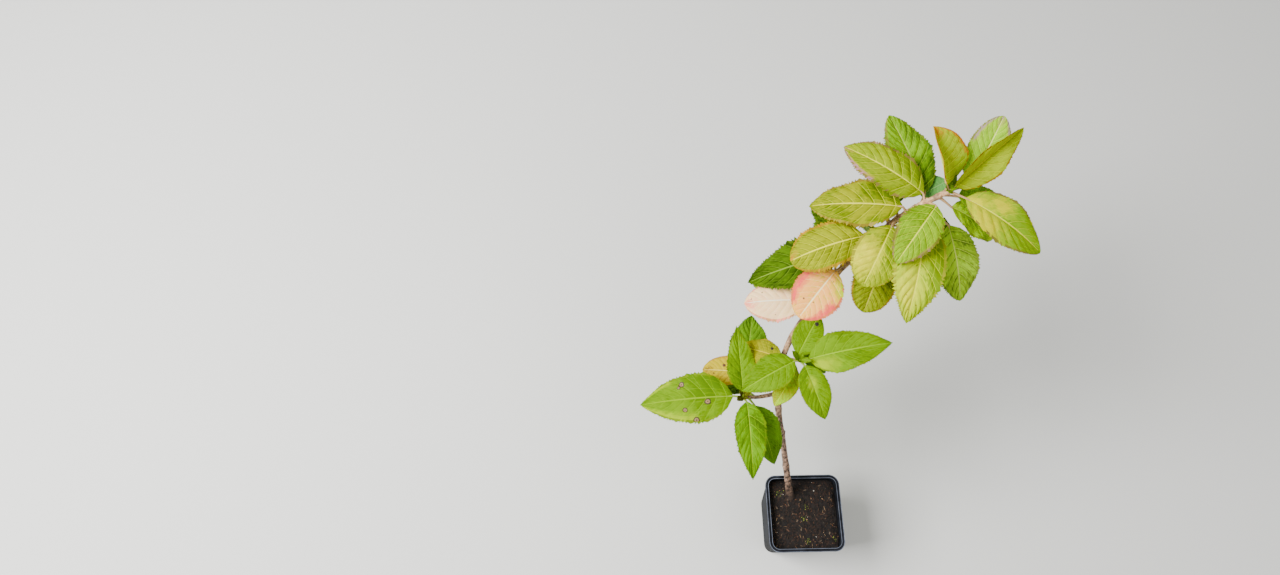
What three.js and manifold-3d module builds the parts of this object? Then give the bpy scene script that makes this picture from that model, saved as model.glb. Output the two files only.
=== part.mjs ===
// A potted hydrangea: one leggy woody stem that leans out of a square nursery pot,
// two short side shoots, and opposite leaves on stalks gathered towards the tips.
// Units are millimetres and degrees. +Z is up, and the origin is the middle of the pot's underside.
import * as THREE from 'three';
import { mergeVertices } from 'three/addons/utils/BufferGeometryUtils.js';
import Module from 'manifold-3d';

const wasm = await Module();
wasm.setup();

const place = (x, y, z) => new THREE.Vector3(x, y, z);
const radians = THREE.MathUtils.degToRad;

// Driving dimensions
const GAP = 0.3;
const POT = {
  height: 115, top: 105, foot: 86, corner: 13, cornerSteps: 4, wall: 1.5, rimBand: 9, lip: 1.6, chamfer: 2,
};
const DRAIN = { radius: 4.5, inset: 26, sides: 12 };
const COMPOST = { top: 102, crown: 3, shoulder: 12 };
const STEM = { foot: 4.3, tip: 3.2, flare: 3, flareHeight: 14, sides: 8, step: 26 };
const SHOOT = { foot: 3, tip: 2.2 };
const KNUCKLE = { swell: 0.7, reach: 6.5, ends: 1.6, apart: 3 };
const STALK = { radius: 1.35, sides: 5, steps: 3, intoBlade: 0.14 };
const BLADE = {
  thickness: 1.3, slimmest: 1 / 90, rim: 0.7, foot: 1.7, tip: 0.5, broad: 0.65, curl: 0.15, plainUnder: 50,
};
const BLADE_SHARES = { large: [0, 0.09, 0.22, 0.4, 0.58, 0.76, 0.91, 1], small: [0, 0.18, 0.45, 0.75, 1] };

// Paths of the stem and its two side shoots, foot to tip
const MAIN = [
  place(-17, 25, COMPOST.top + GAP), place(-35, 79, 178), place(-51, 133, 250), place(-46, 186, 318),
  place(10, 256, 392), place(67, 296, 452), place(123, 316, 492),
];
const LEFT = [place(-52, 138, 257), place(-80, 131, 266), place(-104, 126, 284)];
const RIGHT = [place(-51, 171, 300), place(-46, 165, 320), place(-38, 158, 340)];

// Shares of a path, 0 at its foot and 1 at its tip, at which one piece ends and the next begins
const FORK = 0.345;
const CROWN_FOOT = 0.585;
const PINK_TOP = 0.705;
const LOWER_TOP = 0.86;
const MIDDLE_TOP = 0.95;
const LEFT_FOOT = 0.5;
const RIGHT_FOOT = 0.4;
const SCARS = [0.11, 0.22, 0.3, 0.43, 0.52];

// A leaf is where it grows (share of the path), its stalk's length, heading and rise, and its blade's
// heading, rise, droop along its length, length, width, how its tip is drawn out (1.2 long, 0.6
// blunt), the fold of its halves, and its roll about the midrib
function leaf(at, stalk, heading, rise, droop, length, width, point = 0.85, fold = 11, roll = 0) {
  return { at, stalk, heading, rise, droop, length, width, point, fold, roll };
}

const LEAVES = {
  pink_leaves: [
    leaf(0.60, [12, 180, 10], 177, 0, 28, 80, 54, 0.7, 6),
    leaf(0.69, [18, 215, 10], 229, 4, 40, 76, 60, 0.65, 9),
  ],
  lower_crown: [
    leaf(0.73, [25, 172, -30], 189, -12, 28, 123, 62, 1.0),
    leaf(0.77, [26, 300, -12], 250, -18, 32, 74, 52, 0.65),
    leaf(0.80, [25, 200, 7], 192, 2, 45, 96, 58, 0.6),
    leaf(0.845, [17, 231, 23], 242, 2, 48, 82, 58, 0.6),
  ],
  middle_crown: [
    leaf(0.875, [12, 150, 43], 168, -6, 30, 113, 62, 0.9),
    leaf(0.90, [24, 296, 0], 257, -5, 35, 122, 60, 0.95, 14),
    leaf(0.915, [22, 62, -8], 111, 20, 20, 106, 56),
    leaf(0.93, [12, 104, 30], 146, 18, 30, 110, 58),
    leaf(0.925, [40, 322, -15], 289, -24, 30, 100, 56),
    leaf(0.937, [15, 302, 38], 232, 4, 35, 86, 50, 0.8, 12),
  ],
  top_crown: [
    leaf(0.97, [23, 333, -24], 347, -23, 30, 90, 44),
    leaf(1.0, [34, 68, -38], 205, -4, 25, 36, 30, 0.7),
    leaf(1.0, [22, 326, 13], 328, 1, 35, 114, 60),
    leaf(1.0, [25, 12, 12], 60, 25, 15, 93, 46, 0.7),
    leaf(1.0, [8, 20, 38], 36, 35, 20, 102, 50, 0.95, 43, 44),
    leaf(1.0, [13, 150, 65], 114, 42, 10, 71, 78, 0.85, 35, 30),
  ],
  left_leaves: [
    leaf(0.72, [34, 100, 2], 172, 2, 25, 58, 40, 0.7),
    leaf(0.78, [30, 96, -25], 78, -8, 25, 118, 54, 1.0),
    leaf(0.84, [16, 315, -25], 290, -8, 35, 84, 44, 1.0),
    leaf(1.0, [14, 176, 16], 182, 4, 30, 124, 66, 1.0),
    leaf(1.0, [8, 308, 0], 273, 5, 40, 102, 42, 1.1, 18),
    leaf(1.0, [10, 94, 52], 94, 20, 15, 86, 38, 1.25, 18),
  ],
  right_leaves: [
    leaf(0.55, [12, 160, -20], 149, -24, 20, 64, 36, 0.7),
    leaf(0.65, [14, 300, -30], 236, -22, 25, 58, 30, 0.9),
    leaf(0.9, [7, 80, 30], 60, 30, 25, 58, 38, 0.8),
    leaf(0.9, [6, 207, 36], 207, 5, 30, 78, 46, 1.0, 15),
    leaf(1.0, [12, 1, 19], 7, 28, 30, 106, 52, 1.05, 12),
    leaf(1.0, [10, 307, 11], 290, 0, 30, 72, 39, 0.9, 12),
  ],
};

// Each mass of leaves: its path, the share at which it starts and ends, its own space as a ball, the
// leaves hidden under the crown that its seed is let try, and the heading of its first young pair
const MASSES = [
  { name: 'pink_leaves', path: MAIN, from: CROWN_FOOT, to: PINK_TOP, reach: 130, tries: 4, seed: 11 },
  { name: 'lower_crown', path: MAIN, from: PINK_TOP, to: LOWER_TOP, reach: 150, tries: 30, seed: 23 },
  { name: 'middle_crown', path: MAIN, from: LOWER_TOP, to: MIDDLE_TOP, reach: 165, tries: 90, seed: 37 },
  { name: 'top_crown', path: MAIN, from: MIDDLE_TOP, to: 1, reach: 150, tries: 70, seed: 41, young: 65 },
  { name: 'left_leaves', path: LEFT, from: LEFT_FOOT, to: 1, reach: 150, tries: 22, seed: 57, young: 40 },
  { name: 'right_leaves', path: RIGHT, from: RIGHT_FOOT, to: 1, reach: 125, tries: 22, seed: 97, young: 330 },
];
const HIDDEN = {
  margin: 6, length: [58, 92], slender: 0.54, heading: [-30, 150], rise: [-55, 4], droop: 30, stalk: [14, 24],
};
const YOUNG = { pairs: 2, length: 20, shorter: 7, slender: 0.42, rise: 58, steeper: 8, droop: 12, stalk: 2 };
const CLEAR = 9;
const SAMPLES = {
  along: [0.06, 0.18, 0.3, 0.42, 0.54, 0.66, 0.78, 0.9, 1], across: [-0.9, -0.45, 0, 0.45, 0.9], stem: 60,
};

const smooth = (points) => new THREE.CatmullRomCurve3(points, false, 'catmullrom');
const curves = new Map([MAIN, LEFT, RIGHT].map((path) => [path, smooth(path)]));

function randomFrom(seed) {
  let state = seed;
  return () => {
    state = (state * 48271) % 2147483647;
    return state / 2147483647;
  };
}

const between = ([low, high], share) => low + (high - low) * share;

function direction(heading, rise) {
  const level = Math.cos(radians(rise));
  const [east, north] = [Math.cos(radians(heading)), Math.sin(radians(heading))];
  return place(level * east, level * north, Math.sin(radians(rise)));
}

// Closed skin over a run of loops that all have the same number of points and turn the same way
function loft(loops) {
  const count = loops[0].length;
  const faces = [];
  for (let k = 0; k < loops.length - 1; k += 1) {
    for (let i = 0; i < count; i += 1) {
      const next = (i + 1) % count;
      faces.push(k * count + i, k * count + next, (k + 1) * count + next);
      faces.push(k * count + i, (k + 1) * count + next, (k + 1) * count + i);
    }
  }
  const last = (loops.length - 1) * count;
  for (let i = 1; i < count - 1; i += 1) {
    faces.push(0, i + 1, i);
    faces.push(last, last + i, last + i + 1);
  }
  const geometry = new THREE.BufferGeometry().setFromPoints(loops.flat());
  geometry.setIndex(faces);
  return geometry;
}

function toSolid(geometry) {
  for (const name of ['normal', 'uv']) {
    geometry.deleteAttribute(name);
  }
  const merged = mergeVertices(geometry, 1e-4);
  const vertProperties = new Float32Array(merged.attributes.position.array);
  const triVerts = new Uint32Array(merged.index.array);
  return new wasm.Manifold(new wasm.Mesh({ numProp: 3, vertProperties, triVerts }));
}

function toGeometry(solid) {
  const mesh = solid.getMesh();
  const geometry = new THREE.BufferGeometry();
  geometry.setAttribute('position', new THREE.BufferAttribute(new Float32Array(mesh.vertProperties), 3));
  geometry.setIndex(new THREE.BufferAttribute(new Uint32Array(mesh.triVerts), 1));
  geometry.computeVertexNormals();
  return geometry;
}

const fuse = (solids) => solids.reduce((whole, part) => whole.add(part));

// Pot and compost: square with round corners, each level a loop
const CORNERS = [[1, 1], [-1, 1], [-1, -1], [1, -1]];

function roundedSquare(size, corner, z) {
  const arcs = [];
  const reach = size / 2 - corner;
  for (const [quarter, [x, y]] of CORNERS.entries()) {
    for (let step = 0; step <= POT.cornerSteps; step += 1) {
      const angle = (quarter + step / POT.cornerSteps) * Math.PI / 2;
      arcs.push(place(x * reach + corner * Math.cos(angle), y * reach + corner * Math.sin(angle), z));
    }
  }
  return arcs;
}

const potSize = (z) => POT.foot + (POT.top - POT.foot) * z / POT.height;

function makePot() {
  const bandFoot = POT.height - POT.rimBand;
  const outside = loft([
    roundedSquare(POT.foot - 2 * POT.chamfer, POT.corner - POT.chamfer, 0),
    roundedSquare(potSize(POT.chamfer), POT.corner, POT.chamfer),
    roundedSquare(potSize(bandFoot), POT.corner, bandFoot),
    roundedSquare(potSize(bandFoot) + 2 * POT.lip, POT.corner + POT.lip, bandFoot + POT.lip),
    roundedSquare(potSize(POT.height) + 2 * POT.lip, POT.corner + POT.lip, POT.height),
  ]);
  const inside = loft([
    roundedSquare(potSize(POT.wall) - 2 * POT.wall, POT.corner - POT.wall, POT.wall),
    roundedSquare(potSize(2 * POT.height) - 2 * POT.wall, POT.corner - POT.wall, 2 * POT.height),
  ]);
  const drain = new THREE.CylinderGeometry(DRAIN.radius, DRAIN.radius, 4 * POT.wall, DRAIN.sides);
  drain.rotateX(Math.PI / 2);
  let pot = toSolid(outside).subtract(toSolid(inside));
  for (const [x, y] of CORNERS) {
    pot = pot.subtract(toSolid(drain.clone().translate(x * DRAIN.inset, y * DRAIN.inset, 0)));
  }
  return pot;
}

function makeCompost() {
  const inside = (z) => potSize(z) - 2 * (POT.wall + GAP);
  const corner = POT.corner - POT.wall;
  const floor = POT.wall + GAP;
  const edge = COMPOST.top - COMPOST.crown;
  return toSolid(loft([
    roundedSquare(inside(floor), corner, floor),
    roundedSquare(inside(edge), corner, edge),
    roundedSquare(inside(edge) - 2 * COMPOST.shoulder, corner, COMPOST.top),
  ]));
}

// Stems: round sections square to the path, swollen at each leaf joint; no path runs along ASIDE
const ASIDE = place(1, -1, 0);

function radiusAt(path, share, joints) {
  const size = path === MAIN ? STEM : SHOOT;
  const plain = size.foot + (size.tip - size.foot) * share;
  const height = curves.get(path).getPoint(share).z - MAIN[0].z;
  const flare = path === MAIN ? STEM.flare * Math.exp(-height / STEM.flareHeight) : 0;
  const reach = KNUCKLE.reach / curves.get(path).getLength();
  const swell = joints.map((joint) => KNUCKLE.swell * Math.exp(-(((share - joint) / reach) ** 2)));
  return plain + flare + Math.max(0, ...swell);
}

function makeLimb(path, from, to, joints, extra = 0) {
  const curve = curves.get(path);
  const length = curve.getLength();
  const start = from === 0 ? 0 : from + GAP / length;
  const steps = Math.ceil((to - start) * length / STEM.step);
  const shares = Array.from({ length: steps + 1 }, (_, i) => between([start, to], i / steps));
  const end = KNUCKLE.ends * KNUCKLE.reach / length;
  for (const share of joints.flatMap((joint) => [joint - end, joint, joint + end])) {
    const isApart = shares.every((other) => Math.abs(other - share) > KNUCKLE.apart / length);
    if (isApart && share > start && share < to) {
      shares.push(share);
    }
  }
  shares.sort((a, b) => a - b);
  const loops = shares.map((share) => {
    const centre = curve.getPoint(share);
    const along = curve.getTangent(share);
    const side = along.clone().cross(ASIDE).normalize();
    const up = along.clone().cross(side);
    const radius = radiusAt(path, share, joints) + extra;
    return Array.from({ length: STEM.sides }, (_, i) => {
      const angle = i / STEM.sides * 2 * Math.PI;
      const point = centre.clone().addScaledVector(side, radius * Math.cos(angle));
      point.addScaledVector(up, radius * Math.sin(angle));
      if (path === MAIN && share === 0) {
        point.z = centre.z;
      }
      return point;
    });
  });
  return toSolid(loft(loops));
}

// Blade: the midrib bends down evenly by its droop, and the two halves rise from it by the fold
function outline(share, point) {
  const widest = BLADE.broad / (BLADE.broad + point);
  const plain = (at) => at ** BLADE.broad * (1 - at) ** point;
  return plain(share) / plain(widest);
}

function bladeFoot(row, path) {
  const [length, heading, rise] = row.stalk;
  return curves.get(path).getPoint(row.at).addScaledVector(direction(heading, rise), length);
}

function midrib(row, path, share) {
  const start = radians(row.rise);
  const bend = radians(row.droop);
  const angle = start - bend * share;
  const level = row.length / bend * (Math.sin(start) - Math.sin(angle));
  const climb = row.length / bend * (Math.cos(angle) - Math.cos(start));
  const ahead = direction(row.heading, 0);
  const centre = bladeFoot(row, path).addScaledVector(ahead, level);
  centre.z += climb;
  const along = direction(row.heading, THREE.MathUtils.radToDeg(angle));
  const side = place(-ahead.y, ahead.x, 0).applyAxisAngle(along, radians(row.roll));
  return { centre, along, side, up: along.clone().cross(side) };
}

function bladePoint(row, path, share, across, lift) {
  const { centre, side, up } = midrib(row, path, share);
  const slimmest = between([BLADE.foot, BLADE.tip], share);
  const half = Math.max(slimmest, row.width / 2 * outline(share, row.point));
  const off = across * half;
  const fold = radians(row.fold);
  centre.addScaledVector(side, off * Math.cos(fold));
  const hollow = BLADE.curl * across * across * half;
  return centre.addScaledVector(up, Math.abs(off) * Math.sin(fold) - hollow + lift);
}

function makeBlade(row, path) {
  const thickness = Math.max(BLADE.thickness, row.length * BLADE.slimmest);
  const shares = row.length < BLADE.plainUnder ? BLADE_SHARES.small : BLADE_SHARES.large;
  return toSolid(loft(shares.map((share) => {
    const rim = thickness / 2 * BLADE.rim;
    const sections = [[-1, -rim], [0, -thickness / 2], [1, -rim], [1, rim], [0, thickness / 2], [-1, rim]];
    return sections.map(([across, lift]) => bladePoint(row, path, share, across, lift));
  })));
}

function makeStalk(row, path) {
  const root = curves.get(path).getPoint(row.at);
  const foot = bladeFoot(row, path);
  const end = midrib(row, path, STALK.intoBlade).centre;
  const route = smooth([root, root.clone().lerp(foot, 0.5), foot, end]);
  const section = Array.from({ length: STALK.sides }, (_, i) => {
    const angle = i / STALK.sides * 2 * Math.PI;
    return new THREE.Vector2(STALK.radius * Math.cos(angle), STALK.radius * Math.sin(angle));
  });
  const options = { steps: STALK.steps, extrudePath: route, bevelEnabled: false };
  return toSolid(new THREE.ExtrudeGeometry(new THREE.Shape(section), options));
}

// Room: points over a blade, tested against every leaf and stem that stands already
function bladeSamples(row, path) {
  return SAMPLES.along.flatMap((share) => (
    SAMPLES.across.map((across) => bladePoint(row, path, share, across, 0))
  ));
}

function stemSamples(path) {
  return curves.get(path).getPoints(SAMPLES.stem);
}

function youngLeaves(mass) {
  const rows = [];
  for (let pair = 0; pair < YOUNG.pairs; pair += 1) {
    for (const turn of [0, 180]) {
      const heading = mass.young + 90 * pair + turn;
      const length = YOUNG.length - YOUNG.shorter * pair;
      const stalk = [YOUNG.stalk, heading, YOUNG.rise];
      const rise = YOUNG.rise + YOUNG.steeper * pair;
      rows.push(leaf(1, stalk, heading, rise, YOUNG.droop, length, length * YOUNG.slender));
    }
  }
  return rows;
}

function hiddenLeaves(mass, placed) {
  const random = randomFrom(mass.seed);
  const middle = curves.get(mass.path).getPoint((mass.from + mass.to) / 2);
  const margin = HIDDEN.margin / curves.get(mass.path).getLength();
  const rows = [];
  for (let turn = 0; turn < mass.tries; turn += 1) {
    const at = between([mass.from + margin, mass.to - margin], random());
    const heading = between(HIDDEN.heading, random());
    const rise = between(HIDDEN.rise, random());
    const length = between(HIDDEN.length, random());
    const stalk = [between(HIDDEN.stalk, random()), heading, rise];
    const row = leaf(at, stalk, heading, rise, HIDDEN.droop, length, length * HIDDEN.slender);
    const samples = bladeSamples(row, mass.path);
    const inSpace = samples.every((point) => point.distanceTo(middle) < mass.reach);
    const isClear = samples.every((point) => placed.every((other) => point.distanceTo(other) > CLEAR));
    if (inSpace && isClear) {
      rows.push(row);
      placed.push(...samples);
    }
  }
  return rows;
}

function makeMass(mass, rows) {
  const joints = rows.map((row) => row.at);
  const parts = [makeLimb(mass.path, mass.from, mass.to, joints)];
  for (const row of rows) {
    parts.push(makeBlade(row, mass.path));
    if (row.stalk[0] > YOUNG.stalk) {
      parts.push(makeStalk(row, mass.path));
    }
  }
  return fuse(parts);
}

function material(color, roughness) {
  return new THREE.MeshStandardMaterial({ color, roughness, metalness: 0 });
}

const PLASTIC = material(0x1d1f22, 0.55);
const PEAT = material(0x2b1f18, 0.95);
const BARK = material(0x8a6a55, 0.85);
const BLADES = {
  pink_leaves: 0xe9b394,
  lower_crown: 0xb3c04a,
  middle_crown: 0xa9c13f,
  top_crown: 0xb9cf35,
  left_leaves: 0x7fb01e,
  right_leaves: 0x8fc02b,
};

const plant = new THREE.Group();

function add(name, solid, look) {
  const mesh = new THREE.Mesh(toGeometry(solid), look);
  mesh.name = name;
  plant.add(mesh);
}

add('pot', makePot(), PLASTIC);
add('compost', makeCompost(), PEAT);
const lowerStem = makeLimb(MAIN, 0, FORK, SCARS);
const upperStem = makeLimb(MAIN, FORK, CROWN_FOOT, SCARS);
const room = makeLimb(MAIN, 0, CROWN_FOOT, SCARS, GAP);
add('main_stem', lowerStem, BARK);
add('upper_stem', upperStem, BARK);
add('left_shoot', makeLimb(LEFT, 0, LEFT_FOOT, []).subtract(room), BARK);
add('right_shoot', makeLimb(RIGHT, 0, RIGHT_FOOT, []).subtract(room), BARK);

const placed = [MAIN, LEFT, RIGHT].flatMap(stemSamples);
const grown = new Map();
for (const mass of MASSES) {
  const young = mass.young === undefined ? [] : youngLeaves(mass);
  grown.set(mass.name, [...LEAVES[mass.name], ...young]);
  placed.push(...grown.get(mass.name).flatMap((row) => bladeSamples(row, mass.path)));
}
for (const mass of MASSES) {
  const rows = [...grown.get(mass.name), ...hiddenLeaves(mass, placed)];
  add(mass.name, makeMass(mass, rows), material(BLADES[mass.name], 0.6));
}

export default plant;
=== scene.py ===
import math
from collections import namedtuple
from types import SimpleNamespace as Sizes

import bmesh
import bpy
import numpy as np
from mathutils import Matrix, Vector, noise


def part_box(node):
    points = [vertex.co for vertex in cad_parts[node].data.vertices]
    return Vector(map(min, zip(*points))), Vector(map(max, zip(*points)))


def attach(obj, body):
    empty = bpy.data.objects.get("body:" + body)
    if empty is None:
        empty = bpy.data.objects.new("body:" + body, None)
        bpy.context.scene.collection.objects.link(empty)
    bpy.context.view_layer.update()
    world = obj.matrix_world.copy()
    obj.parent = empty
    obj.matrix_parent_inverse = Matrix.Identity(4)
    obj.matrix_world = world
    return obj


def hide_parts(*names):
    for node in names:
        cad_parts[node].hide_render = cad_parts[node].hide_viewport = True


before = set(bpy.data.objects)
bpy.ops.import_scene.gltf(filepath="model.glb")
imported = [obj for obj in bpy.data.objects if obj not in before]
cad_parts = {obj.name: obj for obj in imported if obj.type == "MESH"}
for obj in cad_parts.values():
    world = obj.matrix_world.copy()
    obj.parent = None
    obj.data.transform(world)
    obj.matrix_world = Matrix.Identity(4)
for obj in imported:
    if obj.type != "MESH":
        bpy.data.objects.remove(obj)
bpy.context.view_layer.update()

# The studio. The camera stands where the photograph was taken from, 1.4 m up over the near left side
# of the pot, and looks down past the crown. The lens is a phone's, about 25 mm on a full frame. The
# floor is plain and pale, and the light is a wide soft sky with a little more from the left.
PLANT_MIDDLE = (0, 0.15, 0.3)
FLOOR_SIZE = 40.0


def linear(code):
    """The linear colour, with alpha 1, of an sRGB hex code."""
    shares = [part / 255 for part in bytes.fromhex(code[1:])]
    return [c / 12.92 if c <= 0.04045 else ((c + 0.055) / 1.055) ** 2.4 for c in shares] + [1.0]


def new_material(name, **sockets):
    """A material with one Principled shader, whose sockets are set or linked later by name."""
    made = bpy.data.materials.new(name)
    made.use_nodes = True
    shader = made.node_tree.nodes["Principled BSDF"]
    for socket, value in sockets.items():
        shader.inputs[socket.replace("_", " ")].default_value = value
    return made, shader


def new_mesh(name, shape):
    """The mesh of a bmesh, which is then freed."""
    mesh = bpy.data.meshes.new(name)
    shape.to_mesh(mesh)
    shape.free()
    return mesh


def new_piece(name, data, materials=()):
    made = bpy.data.objects.new(name, data)
    bpy.context.scene.collection.objects.link(made)
    for material in materials:
        data.materials.append(material)
    return made


def soft_light(name, place, size, watts):
    """A square lamp that looks at the middle of the plant."""
    made = new_piece(name, bpy.data.lights.new(name, "AREA"))
    made.data.size = size
    made.data.energy = watts
    made.location = place
    made.rotation_euler = (Vector(PLANT_MIDDLE) - Vector(place)).to_track_quat("-Z", "Y").to_euler()


camera = new_piece("camera", bpy.data.cameras.new("camera"))
camera.data.sensor_width = 36
camera.data.lens = 25.03
camera.location = (-0.2771, -0.1752, 1.4085)
camera.rotation_euler = [math.radians(turn) for turn in (22.15, -1.64, -1.28)]
bpy.context.scene.camera = camera

floor = bmesh.new()
bmesh.ops.create_grid(floor, x_segments=1, y_segments=1, size=FLOOR_SIZE / 2)
floor_paint, _ = new_material("matt_floor_paint", Base_Color=linear("#e4e4e0"), Roughness=0.9)
new_piece("floor", new_mesh("floor", floor), [floor_paint])

world = bpy.data.worlds.new("sky")
world.use_nodes = True
sky = world.node_tree.nodes["Background"]
sky.inputs["Color"].default_value = linear("#f4f4f2")
sky.inputs["Strength"].default_value = 0.5
bpy.context.scene.world = world
soft_light("sky_key", (-1.7, 0.1, 1.9), 1.3, 130)
soft_light("sky_fill", (1.2, -0.6, 2.4), 1.8, 20)

# The pot. A square nursery pot, vacuum formed or moulded from thin black polypropylene: tapered walls
# with round corners, a band under the rim that others stack on, a rim of two beads with a groove
# between them, and four drain holes in a flat floor. It carries everything else.
pot_low, pot_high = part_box("pot")
POT_LIP = 0.0016
POT_WALL = 0.0015
POT_BEAD = 0.0036
POT_BAND = 0.009
POT_CHAMFER = 0.002
POT_CORNER = 0.013
POT_FOOT = 0.086
POT_HEIGHT = pot_high.z
POT_TOP = pot_high.x - pot_low.x - 2 * POT_LIP
DRAIN_RADIUS = 0.0045
DRAIN_INSET = 0.026
CORNER_STEPS = 8
POT_SHARP = 38


def pot_size(z):
    return POT_FOOT + (POT_TOP - POT_FOOT) * z / POT_HEIGHT


def level(z, outset):
    """A level of the pot: side, corner radius and height of a rounded square set out from its wall."""
    return pot_size(z) + 2 * outset, POT_CORNER + outset, z


def rounded_square(shape, side, corner, z):
    bmesh.ops.create_grid(
        shape, x_segments=1, y_segments=1, size=side / 2, matrix=Matrix.Translation((0, 0, z)))
    bmesh.ops.bevel(
        shape, geom=shape.verts[:], affect="VERTICES", offset=corner, segments=CORNER_STEPS,
        profile=0.5, material=-1)
    shape.faces.ensure_lookup_table()
    return shape.faces[0]


def extrude_on(shape, face, keep=False):
    """Extrudes a face, takes out the old one unless it closes the foot, and returns the new one."""
    grown = bmesh.ops.extrude_face_region(shape, geom=[face])["geom"]
    if not keep:
        bmesh.ops.delete(shape, geom=[face], context="FACES_ONLY")
    return next(part for part in grown if isinstance(part, bmesh.types.BMFace))


def extrude_level(shape, face, old, new, keep):
    """Extrudes a rounded face and moves its copy from one level to the next."""
    face = extrude_on(shape, face, keep)
    for vert in face.verts:
        across = Vector((math.copysign(1, vert.co.x), math.copysign(1, vert.co.y)))
        turn = (vert.co.xy - across * (old[0] / 2 - old[1])) / old[1]
        vert.co = (across * (new[0] / 2 - new[1]) + turn * new[1]).to_3d()
        vert.co.z = new[2]
    return face


# Heights and outsets of the pot's levels: up the wall, round the band, over the outer bead, the groove
# and the inner bead, and down the inside to the floor.
top = POT_HEIGHT
band = POT_HEIGHT - POT_BAND
levels = [level(z, outset) for z, outset in (
    (0, -POT_CHAMFER), (0.0006, -0.0006), (POT_CHAMFER, 0), (band, 0), (band + 0.0004, 0.3 * POT_LIP),
    (band + POT_LIP, 0.95 * POT_LIP), (top - 0.0009, POT_LIP), (top - 0.0003, POT_LIP - 0.0002),
    (top, POT_LIP - 0.0005), (top - 0.0002, POT_LIP - 0.0009), (top - 0.0008, POT_LIP - 0.0012),
    (top - 0.0009, -POT_BEAD + 0.0013), (top - 0.0002, -POT_BEAD + 0.0008),
    (top - 0.0001, -POT_BEAD + 0.0004), (top - 0.0008, -POT_BEAD), (top - 0.0022, -POT_BEAD),
    (top - 0.0032, -POT_WALL), (band - 0.001, -POT_WALL), (POT_WALL + 0.002, -POT_WALL),
    (POT_WALL, -POT_WALL - 0.002))]
shell = bmesh.new()
face = rounded_square(shell, *levels[0])
for old, new in zip(levels, levels[1:]):
    face = extrude_level(shell, face, old, new, keep=old is levels[0])
bmesh.ops.recalc_face_normals(shell, faces=shell.faces[:])
pot_mesh = new_mesh("pot_shell", shell)
pot_mesh.shade_smooth()
pot = new_piece("pot_shell", pot_mesh)

drains = bmesh.new()
for x, y in ((1, 1), (-1, 1), (-1, -1), (1, -1)):
    bmesh.ops.create_cone(
        drains, cap_ends=True, segments=24, radius1=DRAIN_RADIUS, radius2=DRAIN_RADIUS, depth=6 * POT_WALL,
        matrix=Matrix.Translation((x * DRAIN_INSET, y * DRAIN_INSET, 0)))
drain_cutter = new_piece("drains", new_mesh("drains", drains))
cut = pot.modifiers.new("drain_holes", "BOOLEAN")
cut.operation = "DIFFERENCE"
cut.object = drain_cutter
bpy.context.view_layer.update()
cut_mesh = bpy.data.meshes.new_from_object(pot.evaluated_get(bpy.context.evaluated_depsgraph_get()))
pot.modifiers.clear()
pot.data = cut_mesh
bpy.data.objects.remove(drain_cutter)
cut_mesh.set_sharp_from_angle(angle=math.radians(POT_SHARP))


def add_node(material, kind, inputs=None, **settings):
    """Adds a shader node. Settings are its properties, and inputs are values or sockets to link."""
    made = material.node_tree.nodes.new(kind)
    for name, value in settings.items():
        setattr(made, name, value)
    for name, value in (inputs or {}).items():
        if isinstance(value, bpy.types.NodeSocket):
            material.node_tree.links.new(value, made.inputs[name])
        else:
            made.inputs[name].default_value = value
    return made


def link(material, source, shader, socket):
    material.node_tree.links.new(source, shader.inputs[socket])


def patches(material, place, size, detail, roughness=0.5):
    """Noise from 0 to 1 in patches of about a size in metres."""
    return add_node(material, "ShaderNodeTexNoise", {
        "Vector": place, "Scale": 1 / size, "Detail": detail, "Roughness": roughness}).outputs["Fac"]


def ranged(material, value, before, after):
    """A value carried from one range to another and held inside it."""
    return add_node(material, "ShaderNodeMapRange", {
        "Value": value, "From Min": before[0], "From Max": before[1],
        "To Min": after[0], "To Max": after[1]}).outputs[0]


def ramp(material, value, *stops):
    """The colour of a value on a ramp of stops, each a position and an sRGB hex code."""
    made = add_node(material, "ShaderNodeValToRGB", {"Fac": value})
    elements = made.color_ramp.elements
    for element, (position, code) in zip(elements, (stops[0], stops[-1])):
        element.position = position
        element.color = linear(code)
    for position, code in stops[1:-1]:
        elements.new(position).color = linear(code)
    return made.outputs["Color"]


def roughen(material, shader, height, strength, depth):
    """Lets a height stand out of the surface as a bump of up to a depth in metres."""
    bump = add_node(material, "ShaderNodeBump", {"Height": height, "Strength": strength, "Distance": depth})
    link(material, bump.outputs["Normal"], shader, "Normal")


# Black polypropylene, moulded: a faint orange-peel skin, dull where dust and dried water have settled,
# and a painted highlight of lighter grey along the top of the rim, where its beads catch the light.
DUST_PATCH = 0.024
SKIN_GRAIN = 0.0009
plastic, shader = new_material("black_polypropylene", IOR=1.49, Specular_IOR_Level=0.05)
where = add_node(plastic, "ShaderNodeTexCoord").outputs["Object"]
height = add_node(plastic, "ShaderNodeSeparateXYZ", {"Vector": where}).outputs["Z"]
upright = add_node(plastic, "ShaderNodeMapping", {"Vector": where, "Scale": (1.0, 1.0, 0.12)}).outputs[0]
dust = patches(plastic, where, DUST_PATCH, 6.0, 0.65)
runs = patches(plastic, upright, DUST_PATCH / 2, 3.0)
# Painted highlight: the top of the rim turns a lighter blue-grey, standing in for the light on its beads.
rim_highlight = ranged(plastic, height, (POT_HEIGHT - 0.0006, POT_HEIGHT - 0.0001), (0.0, 0.62))
dusty = add_node(plastic, "ShaderNodeMath", {0: dust, 1: runs}, operation="MULTIPLY").outputs[0]
dust_and_rim_highlight = add_node(plastic, "ShaderNodeMath", {0: dusty, 1: rim_highlight}, operation="ADD", use_clamp=True).outputs[0]
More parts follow.
